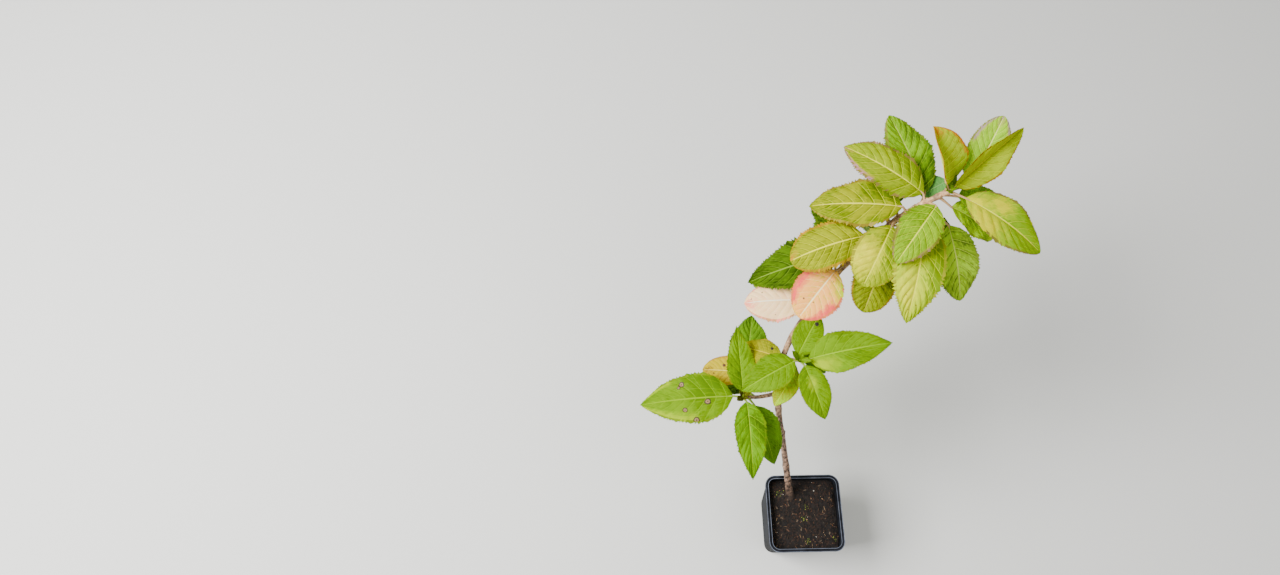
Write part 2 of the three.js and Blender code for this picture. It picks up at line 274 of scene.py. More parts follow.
# The ramp runs from black through dust grey to the pale grey of the painted rim highlight.
tone = ramp(plastic, dust_and_rim_highlight, (0.15, "#121316"), (0.5, "#2c2f37"), (0.95, "#8a90a0"))
link(plastic, tone, shader, "Base Color")
link(plastic, ranged(plastic, dust_and_rim_highlight, (0.0, 1.0), (0.6, 0.75)), shader, "Roughness")
roughen(plastic, shader, patches(plastic, where, SKIN_GRAIN, 2.0), 0.12, 0.0002)
pot.data.materials.clear()
pot.data.materials.append(plastic)
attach(pot, "root")
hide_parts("pot")

# The compost. Peat and composted bark, filled to 13 mm below the rim and firmed round the stem: a dark
# crumbly surface with bits of bark, pale fibres, a few white grains and flecks of moss lying on it.
compost_low, compost_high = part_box("compost")
COMPOST_CROWN = 0.003
COMPOST_SHOULDER = 0.012
COMPOST_GAP = 0.0003
COMPOST_CELLS = 84
CLODS = ((0.0011, 0.009), (0.0007, 0.003))
HEAP_HEIGHT = 0.0045
HEAP_REACH = 0.013
STEM_FOOT = Vector((-0.017, 0.025, compost_high.z))
edge_z = compost_high.z - COMPOST_CROWN
mouth = pot_size(edge_z) - 2 * (POT_WALL + COMPOST_GAP)
mouth_corner = POT_CORNER - POT_WALL


def compost_height(x, y):
    """Height of the compost: a firmed crown with shoulders, clods, and a heap round the stem."""
    inset = mouth / 2 - max(abs(x), abs(y))
    fall = max(0.0, 1 - inset / COMPOST_SHOULDER)
    clods = sum(tall * noise.noise(Vector((x, y, k)) / wide) for k, (tall, wide) in enumerate(CLODS))
    from_stem = (x - STEM_FOOT.x) ** 2 + (y - STEM_FOOT.y) ** 2
    heap = HEAP_HEIGHT * math.exp(-from_stem / HEAP_REACH ** 2)
    return compost_high.z - COMPOST_CROWN * fall ** 1.5 + clods + heap


bed = bmesh.new()
bmesh.ops.create_grid(bed, x_segments=COMPOST_CELLS, y_segments=COMPOST_CELLS, size=mouth / 2)
reach = mouth / 2 - mouth_corner
for vert in bed.verts:
    beyond = Vector((max(0.0, abs(vert.co.x) - reach), max(0.0, abs(vert.co.y) - reach)))
    farthest = max(beyond.x, beyond.y)
    if beyond.x > 0 and beyond.y > 0:
        beyond *= farthest / beyond.length
        vert.co.x = math.copysign(reach + beyond.x, vert.co.x)
        vert.co.y = math.copysign(reach + beyond.y, vert.co.y)
    vert.co.z = compost_height(vert.co.x, vert.co.y)
border = [edge for edge in bed.edges if edge.is_boundary]
taper = (pot_size(compost_low.z) - 2 * (POT_WALL + COMPOST_GAP)) / mouth
skirt = bmesh.ops.extrude_edge_only(bed, edges=border)["geom"]
for vert in (part for part in skirt if isinstance(part, bmesh.types.BMVert)):
    vert.co = (vert.co.x * taper, vert.co.y * taper, compost_low.z)
bmesh.ops.holes_fill(bed, edges=[edge for edge in bed.edges if edge.is_boundary], sides=0)
bmesh.ops.recalc_face_normals(bed, faces=bed.faces[:])
bed_mesh = new_mesh("compost_bed", bed)
bed_mesh.shade_smooth()


def array_piece(name, vertices, faces, kinds, materials):
    """A piece from arrays: vertices in metres, faces, and the place of each one's material."""
    mesh = bpy.data.meshes.new(name)
    mesh.from_pydata(vertices.tolist(), [], faces.tolist())
    made = new_piece(name, mesh, materials)
    mesh.polygons.foreach_set("material_index", np.asarray(kinds, np.int32))
    mesh.update()
    return made


def crumbs(name, places, lengths, slender, seed, materials):
    """Joins one eight-cornered crumb for each place: a jittered box, turned any way up."""
    dice = np.random.default_rng(seed)
    count = len(places)
    corners = np.array([(x, y, z) for z in (-1, 1) for y in (-1, 1) for x in (-1, 1)]) * 0.5
    shape = corners[None] * (1 + dice.uniform(-0.35, 0.35, (count, 8, 3)))
    shape *= np.array([1.0, slender, slender * 0.7]) * np.asarray(lengths)[:, None, None]
    turn = dice.uniform(0, 2 * math.pi, count)
    lean = dice.uniform(-0.5, 0.5, count)
    roll = dice.uniform(0, 2 * math.pi, count)
    for angle, (a, b) in ((roll, (1, 2)), (lean, (0, 2)), (turn, (0, 1))):
        first = shape[..., a] * np.cos(angle)[:, None] - shape[..., b] * np.sin(angle)[:, None]
        second = shape[..., a] * np.sin(angle)[:, None] + shape[..., b] * np.cos(angle)[:, None]
        shape[..., a] = first
        shape[..., b] = second
    shape += np.asarray(places)[:, None]
    sides = np.array([(0, 2, 3, 1), (4, 5, 7, 6), (0, 1, 5, 4), (2, 6, 7, 3), (0, 4, 6, 2), (1, 3, 7, 5)])
    faces = sides[None] + 8 * np.arange(count)[:, None, None]
    kinds = np.repeat(dice.integers(0, len(materials), count), len(sides))
    return array_piece(name, shape.reshape(-1, 3), faces.reshape(-1, 4), kinds, materials)


def strewn(count, seed, middles):
    """Places on the compost, even or gathered round a few middles."""
    dice = np.random.default_rng(seed)
    room = mouth / 2 - STREWN_INSET
    flat = dice.uniform(-room, room, (count, 2))
    if middles:
        near = dice.integers(0, len(middles), count)
        flat = np.clip(np.array(middles)[near] + dice.normal(0, MOSS_SPREAD, (count, 2)), -room, room)
    return [(x, y, compost_height(x, y)) for x, y in flat.tolist()]


def plain(name, code, roughness):
    return new_material(name, Base_Color=linear(code), Roughness=roughness)[0]


# Moist peat: near black in the hollows, brown on the clods, dull, with a fibrous grain.
PEAT_CLOD = 0.004
PEAT_FIBRE = 0.0007
peat, shader = new_material("moist_peat", Roughness=0.9)
where = add_node(peat, "ShaderNodeTexCoord").outputs["Object"]
tone = ramp(peat, patches(peat, where, PEAT_CLOD, 8.0), (0.35, "#0b0705"), (0.68, "#1c120c"))
link(peat, tone, shader, "Base Color")
roughen(peat, shader, patches(peat, where, PEAT_FIBRE, 4.0), 0.8, 0.0008)

# What lies on it: name, count, seed, lengths, slenderness, and each kind's material.
STREWN_INSET = 0.0035
MOSS = [(0.001, -0.006), (0.004, -0.037), (0.043, -0.035), (0.004, 0.009), (-0.033, 0.03)]
MOSS_SPREAD = 0.002
STREWN = (
    ("peat_crumbs", 2600, 5, (0.0008, 0.0028), 0.7, (
        ("peat_crumb_dark", "#0c0806", 0.95), ("peat_crumb_brown", "#1a110c", 0.95),
        ("peat_crumb_red", "#2c1a0e", 0.9))),
    ("bark_bits", 110, 8, (0.002, 0.005), 0.4, (
        ("bark_bit_brown", "#4e3322", 0.85), ("bark_bit_grey", "#5c4c3c", 0.9),
        ("bark_bit_dark", "#22150e", 0.9))),
    ("fibre_bits", 60, 11, (0.003, 0.008), 0.08, (
        ("fibre_tan", "#8c7050", 0.85), ("fibre_brown", "#5c3e26", 0.9))),
    ("white_grains", 46, 14, (0.0007, 0.0016), 0.8, (
        ("perlite_white", "#cfc6b8", 0.8), ("perlite_tan", "#b98f6a", 0.85),
        ("husk_orange", "#84502c", 0.85))),
    ("moss_flecks", 120, 17, (0.0009, 0.0022), 0.5, (
        ("moss_green", "#5a6c1c", 0.9), ("moss_pale", "#8c9838", 0.9), ("moss_dark", "#2c3c14", 0.9))))
compost_pieces = [new_piece("compost_bed", bed_mesh, [peat])]
for name, count, seed, (shortest, longest), slender, skins in STREWN:
    places = strewn(count, seed, MOSS if name == "moss_flecks" else None)
    lengths = np.random.default_rng(seed + 1).uniform(shortest, longest, count)
    materials = [plain(*skin) for skin in skins]
    compost_pieces.append(crumbs(name, places, lengths, slender, seed + 2, materials))
for piece in compost_pieces:
    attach(piece, "root")
    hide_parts("compost")

# The stems. One woody stem leans out of the pot and away from the camera, with two short side shoots.
# The bark is thin, pale brown and slightly ridged, with pores, and with a swollen joint wherever a pair
# of leaves stood: each left a crescent scar on two opposite sides, with a small bud over it.
MM = 0.001
MAIN = np.array([
    (-17, 25, 102.3), (-35, 79, 178), (-51, 133, 250), (-46, 186, 318),
    (10, 256, 392), (67, 296, 452), (123, 316, 492)], float)
LEFT = np.array([(-52, 138, 257), (-80, 131, 266), (-104, 126, 284)], float)
RIGHT = np.array([(-51, 171, 300), (-46, 165, 320), (-38, 158, 340)], float)
STEM = Sizes(foot=4.3, tip=3.2, flare=3, flare_height=14)
SHOOT = Sizes(foot=3, tip=2.2)
KNUCKLE = Sizes(swell=0.7, reach=6.5)
ASIDE = np.array((1, -1, 0)) / math.sqrt(2)
FORK = 0.345
CROWN_FOOT = 0.585
LEFT_FOOT = 0.5
RIGHT_FOOT = 0.4
SCARS = (0.11, 0.22, 0.3, 0.43, 0.52)
PORE_FROM = 0.38
SCAR_REACH = 9
SCAR_TURN = 0.6
RING_STEP = 0.9
PROUD = Sizes(ridge=0.26, fine=0.1, pore=1.1, joint=0.25, scar=0.55, hollow=0.3, bud=1.5)


def path_points(path, shares):
    """Points on the smooth uniform curve through a path, whose ends run on straight."""
    ends = np.vstack([2 * path[0] - path[1], path, 2 * path[-1] - path[-2]])
    place = np.atleast_1d(shares) * (len(path) - 1)
    first = np.minimum(place.astype(int), len(path) - 2)
    t = (place - first)[:, None]
    before, here, there, after = (ends[first + step] for step in range(4))
    slope, slope_there = (there - before) / 2, (after - here) / 2
    bend = -3 * here + 3 * there - 2 * slope - slope_there
    return here + slope * t + bend * t ** 2 + (2 * here - 2 * there + slope + slope_there) * t ** 3


def path_length(path):
    return np.linalg.norm(np.diff(path_points(path, np.linspace(0, 1, 201)), axis=0), axis=1).sum()


def unit(vectors):
    return vectors / np.linalg.norm(vectors, axis=1)[:, None]


def path_frames(path, shares):
    """Centre, tangent and two cross directions at each share."""
    step = 1e-4
    before, after = np.maximum(0, shares - step), np.minimum(1, shares + step)
    along = unit(path_points(path, after) - path_points(path, before))
    side = unit(np.cross(along, ASIDE))
    return path_points(path, shares), along, side, np.cross(along, side)


def stem_radius(path, share, joints):
    size = STEM if path is MAIN else SHOOT
    height = path_points(path, share)[0][2] - MAIN[0][2]
    flare = STEM.flare * math.exp(-height / STEM.flare_height) if path is MAIN else 0
    reach = KNUCKLE.reach / path_length(path)
    swell = [KNUCKLE.swell * math.exp(-(((share - joint) / reach) ** 2)) for joint in joints]
    return size.foot + (size.tip - size.foot) * share + flare + max(0, *swell, 0)


def bark_relief(angle, distance, radius, joints, length, woody):
    """How far the bark stands proud, in mm: long ridges, pores, and two scars with buds at each joint."""
    x, y = math.cos(angle) * radius, math.sin(angle) * radius
    ridges = noise.noise(Vector((x / 1.3, y / 1.3, distance / 9))) * PROUD.ridge * woody
    fine = noise.noise(Vector((x / 0.5, y / 0.5, distance / 1.6))) * PROUD.fine * woody
    pores = max(0.0, noise.noise(Vector((x / 1.1, y / 1.1, distance / 2.2 + 50))) - PORE_FROM)
    proud = ridges + fine + pores * PROUD.pore * woody
    for order, joint in enumerate(joints):
        off = distance - joint * length
        if abs(off) > SCAR_REACH:
            continue
        proud += PROUD.joint * math.exp(-((off / 0.9) ** 2))
        for turn in (0, math.pi):
            away = math.remainder(angle - turn - order * math.pi / 2 - SCAR_TURN, 2 * math.pi)
            crescent = off + 1.6 - 1.5 * away ** 2
            proud += PROUD.scar * math.exp(-((away / 0.75) ** 2) - (crescent / 0.75) ** 2)
            proud -= PROUD.hollow * math.exp(-((away / 0.6) ** 2) - ((crescent - 1.3) / 0.7) ** 2)
            proud += PROUD.bud * math.exp(-((away / 0.34) ** 2) - ((off - 2.3) / 1.25) ** 2)
    return proud


def stem_piece(name, nodes, path, start, end, joints=(), woody=1.0, sides=26):
    """Sweeps a ring up a path, and moves each ring out by the bark's relief."""
    length = path_length(path)
    shares = np.linspace(start, end, int((end - start) * length / RING_STEP) + 2)
    centres, _, side, up = path_frames(path, shares)
    shape = bmesh.new()
    ring = bmesh.ops.create_circle(shape, cap_ends=True, segments=sides, radius=1)["verts"]
    face = ring[0].link_faces[0]
    turns = [math.atan2(vert.co.y, vert.co.x) for vert in face.verts]
    for k, share in enumerate(shares):
        if k:
            face = extrude_on(shape, face, keep=k == 1)
        radius = stem_radius(path, share, joints)
        for vert, turn in zip(face.verts, turns):
            out = radius + bark_relief(turn, share * length, radius, joints, length, woody)
            place = centres[k] + out * (math.cos(turn) * side[k] + math.sin(turn) * up[k])
            if path is MAIN and k == 0 and start == 0:
                place[2] = centres[0][2]
            vert.co = place * MM
    bmesh.ops.recalc_face_normals(shape, faces=shape.faces[:])
    mesh = new_mesh(name, shape)
    mesh.shade_smooth()
    made = new_piece(name, mesh, [bark])
    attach(made, "root")
    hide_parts(*nodes)


def cells(material, place, size):
    """The distance from the middle of the nearest of random cells of about a size in metres."""
    inputs = {"Vector": place, "Scale": 1 / size}
    return add_node(material, "ShaderNodeTexVoronoi", inputs).outputs["Distance"]


def mixed(material, share, first, second, blend="MIX"):
    return add_node(
        material, "ShaderNodeMix", {0: share, 6: first, 7: second}, data_type="RGBA",
        blend_type=blend).outputs[2]


# Young hydrangea bark: a thin dull skin, brown with grey streaks low down and pinkish tan towards the
# tip, with paler pores and darker cracks that run up the stem. It turns near black towards the foot.
BARK_STREAK = 0.003
BARK_PATCH = 0.007
BARK_DARK_FOOT = 0.034
PORE_SPACING = 0.0024
bark, shader = new_material("young_bark", Roughness=0.72)
where = add_node(bark, "ShaderNodeTexCoord").outputs["Object"]
height = add_node(bark, "ShaderNodeSeparateXYZ", {"Vector": where}).outputs["Z"]
upright = add_node(bark, "ShaderNodeMapping", {"Vector": where, "Scale": (1.0, 1.0, 0.13)}).outputs[0]
streaks = patches(bark, upright, BARK_STREAK, 5.0, 0.6)
low_tone = ramp(bark, streaks, (0.38, "#2c1a12"), (0.62, "#bc967c"))
high_tone = ramp(bark, streaks, (0.36, "#a0704c"), (0.6, "#dcb082"))
tone = mixed(bark, ranged(bark, height, (0.2, 0.46), (0.0, 1.0)), low_tone, high_tone)
pores = cells(bark, where, PORE_SPACING)
dots = ranged(bark, pores, (0.12, 0.24), (0.5, 0.0))
tone = mixed(bark, dots, tone, linear("#cdb294"))
shade = ranged(bark, patches(bark, where, BARK_PATCH, 3.0), (0.36, 0.64), (0.45, 1.2))
tone = mixed(bark, 1.0, tone, shade, "MULTIPLY")
# Darker towards the foot: blended towards near black from 34 mm above the compost, almost fully by 8 mm
# above it.
foot_darkening = ranged(bark, height, (compost_high.z + 0.008, compost_high.z + BARK_DARK_FOOT), (0.9, 0.0))
link(bark, mixed(bark, foot_darkening, tone, linear("#140c08")), shader, "Base Color")
roughen(bark, shader, streaks, 0.5, 0.0004)

stem_piece("main_stem_bark", ["main_stem"], MAIN, 0, FORK, SCARS)
stem_piece("upper_stem_bark", ["upper_stem"], MAIN, FORK, CROWN_FOOT, SCARS)
stem_piece("left_shoot_bark", ["left_shoot"], LEFT, 0, LEFT_FOOT, woody=0.6, sides=20)
stem_piece("right_shoot_bark", ["right_shoot"], RIGHT, 0, RIGHT_FOOT, woody=0.6, sides=20)

# The leaves' rule, by which the frame's masses grow too. A leaf springs from the stem or a shoot on a
# stalk, and its blade rises, then droops along a bent midrib, folded a little like a trough. A seed adds
# hidden leaves under the crown, and each tip ends in two crossed pairs of young ones.
PINK_TOP = 0.705
LOWER_TOP = 0.86
MIDDLE_TOP = 0.95
# A leaf: its tint, its place on the path, its stalk (length, heading, rise), then the blade, in mm and
# degrees. Blushes and shades are (share, across, reach), edges that have turned (side, from, to, depth),
# and spots (share, across, radius in mm, look), whose look is a speck if none is given.
Leaf = namedtuple(
    "Leaf", "tint at stalk heading rise droop length width point fold roll blush edges shade spots",
    defaults=(0.85, 11, 0, (), (), (), ()))
LEAVES = {"pink_leaves": [
    Leaf("cream", 0.6, (12, 180, 10), 177, 0, 28, 80, 54, 0.7, 6, blush=((1, 0.2, 0.2),),
         edges=((1, 0.2, 1, 0.08), (-1, 0.4, 1, 0.06)), spots=((0.7, -0.5, 0.8), (0.5, 0.72, 0.6),
         (0.88, -0.3, 0.8))),
    Leaf("peach", 0.69, (18, 215, 10), 229, 4, 40, 76, 60, 0.65, 9, edges=((-1, 0.15, 0.8, 0.3),
         (1, 0.45, 1, 0.34)), shade=((0.2, 0.95, 0.2),), spots=((0.7, -0.35, 1.1), (0.66, 0.1, 0.8),
         (0.2, 0.3, 0.6))),
], "lower_crown": [
    Leaf("mid_green", 0.73, (25, 172, -30), 189, -12, 28, 123, 62, 1),
    Leaf("olive", 0.77, (26, 300, -12), 250, -18, 32, 74, 52, 0.65, edges=((0, 0.3, 1, 0.07),)),
    Leaf("gold_green", 0.8, (25, 200, 7), 192, 2, 45, 96, 58, 0.6, blush=((1, -0.3, 0.12),),
         edges=((0, 0.3, 1, 0.07),), shade=((0.12, 0.3, 0.2),)),
    Leaf("pale_lime", 0.845, (17, 231, 23), 242, 2, 48, 82, 58, 0.6, blush=((0.6, -0.6, 0.28),),
         shade=((0.15, 0.5, 0.26), (0.4, 0.95, 0.24))),
], "middle_crown": [
    Leaf("dull_lime", 0.875, (12, 150, 43), 168, -6, 30, 113, 62, 0.9, edges=((0, 0.2, 1, 0.05),),
         shade=((0.15, -0.7, 0.22),)),
    Leaf("lit_lime", 0.9, (24, 296, 0), 257, -5, 35, 122, 60, 0.95, 14, blush=((0.7, -0.3, 0.26),),
         shade=((0.3, 0.9, 0.22), (0.55, 0.95, 0.2)), spots=((0.8, 0.3, 0.7), (0.86, -0.2, 0.5),
         (0.72, -0.4, 0.5))),
    Leaf("dull_green", 0.915, (22, 62, -8), 111, 20, 20, 106, 56, edges=((1, 0.2, 0.95, 0.14),)),
    Leaf("plum_lime", 0.93, (12, 104, 30), 146, 18, 30, 110, 58, blush=((1.02, 0.2, 0.13),),
         edges=((1, 0.5, 1, 0.15), (-1, 0.6, 1, 0.06)), shade=((0.3, -0.7, 0.22),)),
    Leaf("pale_green", 0.925, (40, 322, -15), 289, -24, 30, 100, 56),
    Leaf("cool_lime", 0.937, (15, 302, 38), 232, 4, 35, 86, 50, 0.8, 12, edges=((0, 0.5, 1, 0.13),)),
], "top_crown": [
    Leaf("lit_green", 0.97, (23, 333, -24), 347, -23, 30, 90, 44),
    Leaf("blue_green", 1, (34, 68, -38), 205, -4, 25, 36, 30, 0.7),
    Leaf("gold_lime", 1, (22, 326, 13), 328, 1, 35, 114, 60, blush=((0.24, -0.7, 0.3),
         (0.1, 0.1, 0.24), (0.35, 0.5, 0.16)), edges=((1, 0.5, 1, 0.06),)),
    Leaf("grey_green", 1, (25, 12, 12), 60, 25, 15, 93, 46, 0.7, blush=((1, 0, 0.16),),
         edges=((0, 0.5, 1, 0.24),)),
    Leaf("bright_gold", 1, (8, 20, 38), 36, 35, 20, 102, 50, 0.95, 43, 44, edges=((1, 0, 1, 1.3),)),
    Leaf("lime_rust", 1, (13, 150, 65), 114, 42, 10, 71, 78, 0.85, 35, 30, blush=((1.05, 0, 0.26),),
         edges=((1, 0.35, 1, 0.13), (-1, 0.35, 1, 0.13))),
], "left_leaves": [
    Leaf("cream_yellow", 0.72, (34, 100, 2), 172, 2, 25, 58, 40, 0.7, edges=((0, 0.4, 1, 0.1),),
         spots=((0.5, -0.35, 2.2), (0.72, 0.3, 1), (0.85, -0.2, 0.8))),
    Leaf("leaf_green", 0.78, (30, 96, -25), 78, -8, 25, 118, 54, 1),
    Leaf("leaf_green", 0.84, (16, 315, -25), 290, -8, 35, 84, 44, 1),
    Leaf("spotted_green", 1, (14, 176, 16), 182, 4, 30, 124, 66, 1, edges=((1, 0.35, 1, 0.3),
         (-1, 0.6, 1, 0.2)), shade=((0.26, -0.5, 0.3),), spots=((0.27, 0.2, 4.4, "ringed"),
         (0.53, -0.62, 3.8, "ringed"), (0.56, -0.5, 2.2, "ringed"), (0.51, 0.5, 3.4, "ringed"),
         (0.4, 0.92, 4.2, "ringed"))),
    Leaf("fresh_green", 1, (8, 308, 0), 273, 5, 40, 102, 42, 1.1, 18),
    Leaf("bright_green", 1, (10, 94, 52), 94, 20, 15, 86, 38, 1.25, 18),
], "right_leaves": [
    Leaf("old_gold", 0.55, (12, 160, -20), 149, -24, 20, 64, 36, 0.7,
         spots=((0.27, -0.5, 2.1, "black"),)),
    Leaf("lit_gold", 0.65, (14, 300, -30), 236, -22, 25, 58, 30, 0.9),
    Leaf("bright_green", 0.9, (7, 80, 30), 60, 30, 25, 58, 38, 0.8,
         spots=((0.78, -0.25, 2.6, "black"),)),
    Leaf("bright_green", 0.9, (6, 207, 36), 207, 5, 30, 78, 46, 1, 15),
    Leaf("bright_green", 1, (12, 1, 19), 7, 28, 30, 106, 52, 1.05, 12, blush=((0.14, -0.6, 0.2),)),
    Leaf("bright_green", 1, (10, 307, 11), 290, 0, 30, 72, 39, 0.9, 12, blush=((0.35, 0, 0.14),)),
]}
Mass = namedtuple("Mass", "slot path start end reach tries seed young", defaults=(None,))
MASSES = {
    "pink_leaves": Mass("pink_leaves", MAIN, CROWN_FOOT, PINK_TOP, reach=130, tries=4, seed=11),
    "lower_crown": Mass("crown_leaves", MAIN, PINK_TOP, LOWER_TOP, reach=150, tries=30, seed=23),
    "middle_crown": Mass("crown_leaves", MAIN, LOWER_TOP, MIDDLE_TOP, reach=165, tries=90, seed=37),
    "top_crown": Mass("crown_leaves", MAIN, MIDDLE_TOP, 1, reach=150, tries=70, seed=41, young=65),
    "left_leaves": Mass("side_leaves", LEFT, LEFT_FOOT, 1, reach=150, tries=22, seed=57, young=40),
    "right_leaves": Mass("side_leaves", RIGHT, RIGHT_FOOT, 1, reach=125, tries=22, seed=97, young=330),
}
HIDDEN = Sizes(
    margin=6, length=(58, 92), slender=0.54, heading=(-30, 150), rise=(-55, 4), droop=30, stalk=(14, 24))
YOUNG = Sizes(pairs=2, length=20, shorter=7, slender=0.42, rise=58, steeper=8, droop=12, stalk=2)
BLADE = Sizes(foot=1.7, tip=0.5, broad=0.65, curl=0.15)
CLEAR = 9


def direction(heading, rise):
    turn, tilt = math.radians(heading), math.radians(rise)
    return np.array((math.cos(tilt) * math.cos(turn), math.cos(tilt) * math.sin(turn), math.sin(tilt)))


def blade_foot(row, path):
    length, heading, rise = row.stalk
    return path_points(path, row.at)[0] + length * direction(heading, rise)


def midrib(row, path, share):
    """Centre, side and up of the blade at each share, where the midrib bends down evenly."""
    start, bend = math.radians(row.rise), math.radians(row.droop)
    angle = start - bend * share
    reach = row.length / bend
    ahead = direction(row.heading, 0)
    centre = blade_foot(row, path) + np.outer(reach * (math.sin(start) - np.sin(angle)), ahead)
    centre[:, 2] += reach * (np.cos(angle) - math.cos(start))
    along = np.outer(np.cos(angle), ahead)
    along[:, 2] += np.sin(angle)
    level_side = np.array((-ahead[1], ahead[0], 0))
    roll = math.radians(row.roll)
    side = level_side * math.cos(roll) + np.cross(along, level_side) * math.sin(roll)
    return centre, side, np.cross(along, side)


def half_width(row, share):
    widest = BLADE.broad / (BLADE.broad + row.point)
    shape = share ** BLADE.broad * (1 - share) ** row.point
    shape /= widest ** BLADE.broad * (1 - widest) ** row.point
    return np.maximum(BLADE.foot + (BLADE.tip - BLADE.foot) * share, row.width / 2 * shape)


def blade_points(row, path, share, across, lift):
    centre, side, up = midrib(row, path, share)
    half = half_width(row, share)
    off = across * half
    fold = math.radians(row.fold)
    rise = np.abs(off) * math.sin(fold) - BLADE.curl * across ** 2 * half + lift
    return centre + side * (off * math.cos(fold))[:, None] + up * rise[:, None]


SAMPLE_ALONG, SAMPLE_ACROSS = np.meshgrid(
    (0.06, 0.18, 0.3, 0.42, 0.54, 0.66, 0.78, 0.9, 1), (-0.9, -0.45, 0, 0.45, 0.9), indexing="ij")


def blade_samples(row, path):
    return blade_points(row, path, SAMPLE_ALONG.ravel(), SAMPLE_ACROSS.ravel(), 0)


def young_leaves(mass):
    rows = []
    for pair in range(0 if mass.young is None else YOUNG.pairs):
        for turn in (0, 180):
            heading = mass.young + 90 * pair + turn
            length = YOUNG.length - YOUNG.shorter * pair
            rise = YOUNG.rise + YOUNG.steeper * pair
            rows.append(Leaf(
                None, 1, (YOUNG.stalk, heading, YOUNG.rise), heading, rise, YOUNG.droop, length,
                length * YOUNG.slender))
    return rows


def random_from(seed):
    state = seed
    while True:
        state = state * 48271 % 2147483647
        yield state / 2147483647


def hidden_leaves(mass, placed):
    """The leaves that the seed adds, each kept only where it is in the mass's space and clear."""
    draw = random_from(mass.seed)
    between = lambda low, high: low + (high - low) * next(draw)
    middle = path_points(mass.path, (mass.start + mass.end) / 2)[0]
    margin = HIDDEN.margin / path_length(mass.path)
    rows = []
    for _ in range(mass.tries):
        at = between(mass.start + margin, mass.end - margin)
        heading, rise = between(*HIDDEN.heading), between(*HIDDEN.rise)
        length, stalk = between(*HIDDEN.length), between(*HIDDEN.stalk)
        row = Leaf(
            None, at, (stalk, heading, rise), heading, rise, HIDDEN.droop, length, length * HIDDEN.slender)
        samples = blade_samples(row, mass.path)
        standing = np.vstack(placed)
        nearest = min(np.linalg.norm(standing - sample, axis=1).min() for sample in samples)
        if np.linalg.norm(samples - middle, axis=1).max() < mass.reach and nearest > CLEAR:
            rows.append(row)
            placed.append(samples)
    return rows


placed = [path_points(path, np.linspace(0, 1, 61)) for path in (MAIN, LEFT, RIGHT)]
young = {name: young_leaves(mass) for name, mass in MASSES.items()}
for name, mass in MASSES.items():
    placed += [blade_samples(row, mass.path) for row in LEAVES[name] + young[name]]
rows_of = {
    name: LEAVES[name] + young[name] + hidden_leaves(mass, placed) for name, mass in MASSES.items()}

# The blades. A hydrangea leaf is thin and supple, with one row of teeth, a sunk midrib, and side veins
# that arch forward to the margin and fork on the way; the skin between them swells into low quilts. Its
# sheet is a grid that follows the veins, so that veins, margin and blushes are plain colours in place.
VEINS = 9
FIRST_VEIN = 0.6
VEIN_HALF = 0.038
FORK_HALF = 0.017
FORK_FROM = 0.34
ARCH = 1.1
ARCH_POWER = 1.4
LAST_SKIN = 0.2
SKIN = 0.3
RIB_DEPTH = 0.9
RIB_HALF = 1.5
RIDGE_HALF = 1.1
VEIN_RIDGE = 0.35
GRAIN = 0.35
GRAIN_SIZE = 3.5
WAVE_HEIGHTS = (1.5, 3)
WAVE_COUNTS = (1.6, 2.6)
# Look.between scales the painted shade along the veins and the real deeper tone towards the margin.
Look = namedtuple("Look", "quilt tooth clouds between depth")
LOOKS = {
    "pink_leaves": Look(1.3, 1.1, 0.3, 0.1, 0.05), "lower_crown": Look(2.0, 1.2, 0.9, 1.1, 0.25),
    "middle_crown": Look(1.8, 1.0, 0.9, 1.0, 0.22), "top_crown": Look(1.1, 0.5, 0.9, 0.5, 0.2),
    "left_leaves": Look(1.3, 0.7, 0.9, 0.4, 0.2), "right_leaves": Look(1.2, 0.6, 0.6, 0.5, 0.18)}
YOUNG_LOOK = Look(0.7, 0.4, 0.5, 0.3, 0.3)
CROSS_LINES = (0.16, 0.36, 0.56, 0.75)
CROSS_WIDTH = 0.017
ROWS = sorted((0.0, 0.032, 0.09, 0.26, 0.46, 0.65, 0.83, 0.92, 1.0) + CROSS_LINES
              + tuple(line + CROSS_WIDTH for line in CROSS_LINES))
TOOTH = 2.9
TOOTH_AHEAD = 0.009
TOOTH_RAGGED = (0.6, 1.3)
TEETH = (0.1, 0.97)
PATCH_CORE = 1.3
PATCH_ACROSS = 0.35
EDGE_CORE = 1.5
EDGE_FADE = 0.08
TURNED_RAGGED = 0.35
TURNED_GRAIN = ((1, 6, 0.5), (0.5, 2.2, 0.7))


def vein_columns(across):
    """Phases of the grid's columns, one row of them for each across, and the kind of each gap."""
    away = np.abs(across)
    half = VEIN_HALF * (1 - 0.65 * away)
    fork_half = FORK_HALF * (1 - 0.5 * away)
    fork = np.clip((away - FORK_FROM) / (1 - FORK_FROM), 0, 1)
    columns, kinds = [0 * away, 0.3 + 0 * away], ["skin", "skin"]
    for vein in range(VEINS):
        middle = vein + FIRST_VEIN
        columns += [middle - half, middle + half]
        kinds += ["vein", "skin"]
        if vein < VEINS - 1:
            forked = middle + 0.93 - half - 0.42 * fork ** 0.9
            room = forked - FORK_HALF - middle - half
            columns += [middle + half + room * share for share in (0.22, 0.5, 0.78)]
            columns += [forked - fork_half, forked + fork_half]
            columns += [(forked + middle + 1 - half + fork_half) / 2]
            kinds += ["skin", "skin", "skin", "fork", "skin", "skin"]
    columns += [VEINS - 0.15 + 0 * away, VEINS + LAST_SKIN + 0 * away]
    kinds += ["skin"]
    return np.array(columns), kinds[:len(columns) - 1]


